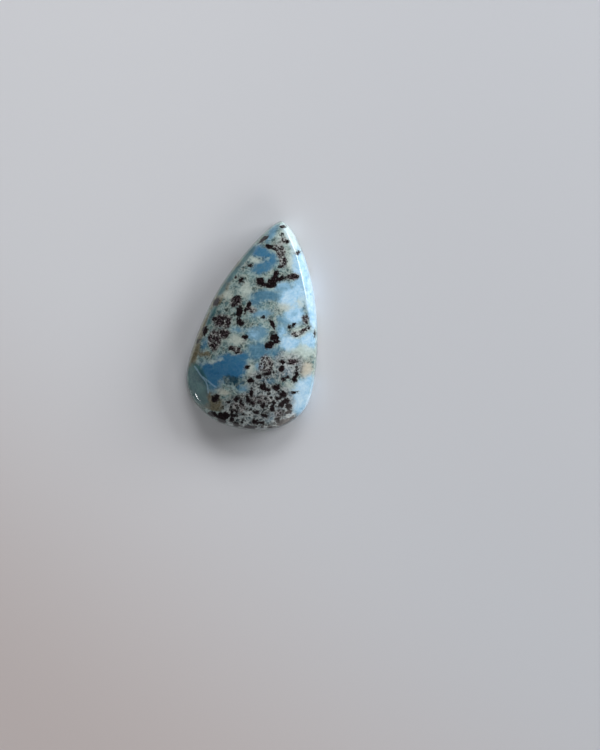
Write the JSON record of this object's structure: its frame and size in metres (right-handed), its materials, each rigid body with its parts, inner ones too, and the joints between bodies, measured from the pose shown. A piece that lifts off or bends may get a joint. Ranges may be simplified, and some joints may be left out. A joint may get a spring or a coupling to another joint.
{
  "type": "larimar cabochon",
  "caption": "Polished teardrop cabochon of larimar with a domed crown and a flat back that rests on a surface or in a setting.",
  "frame": {"origin": "middle of the outline's box, on the plane of the flat back", "axes": "+Z out of the back through the domed crown, +Y from the round end to the tip, +X to the side that the tip leans to"},
  "size_m": [0.0218, 0.0348, 0.0062],
  "materials": {
    "larimar": "polished"
  },
  "bodies": {
    "root": {"larimar_cabochon": "larimar"}
  },
  "joints": []
}
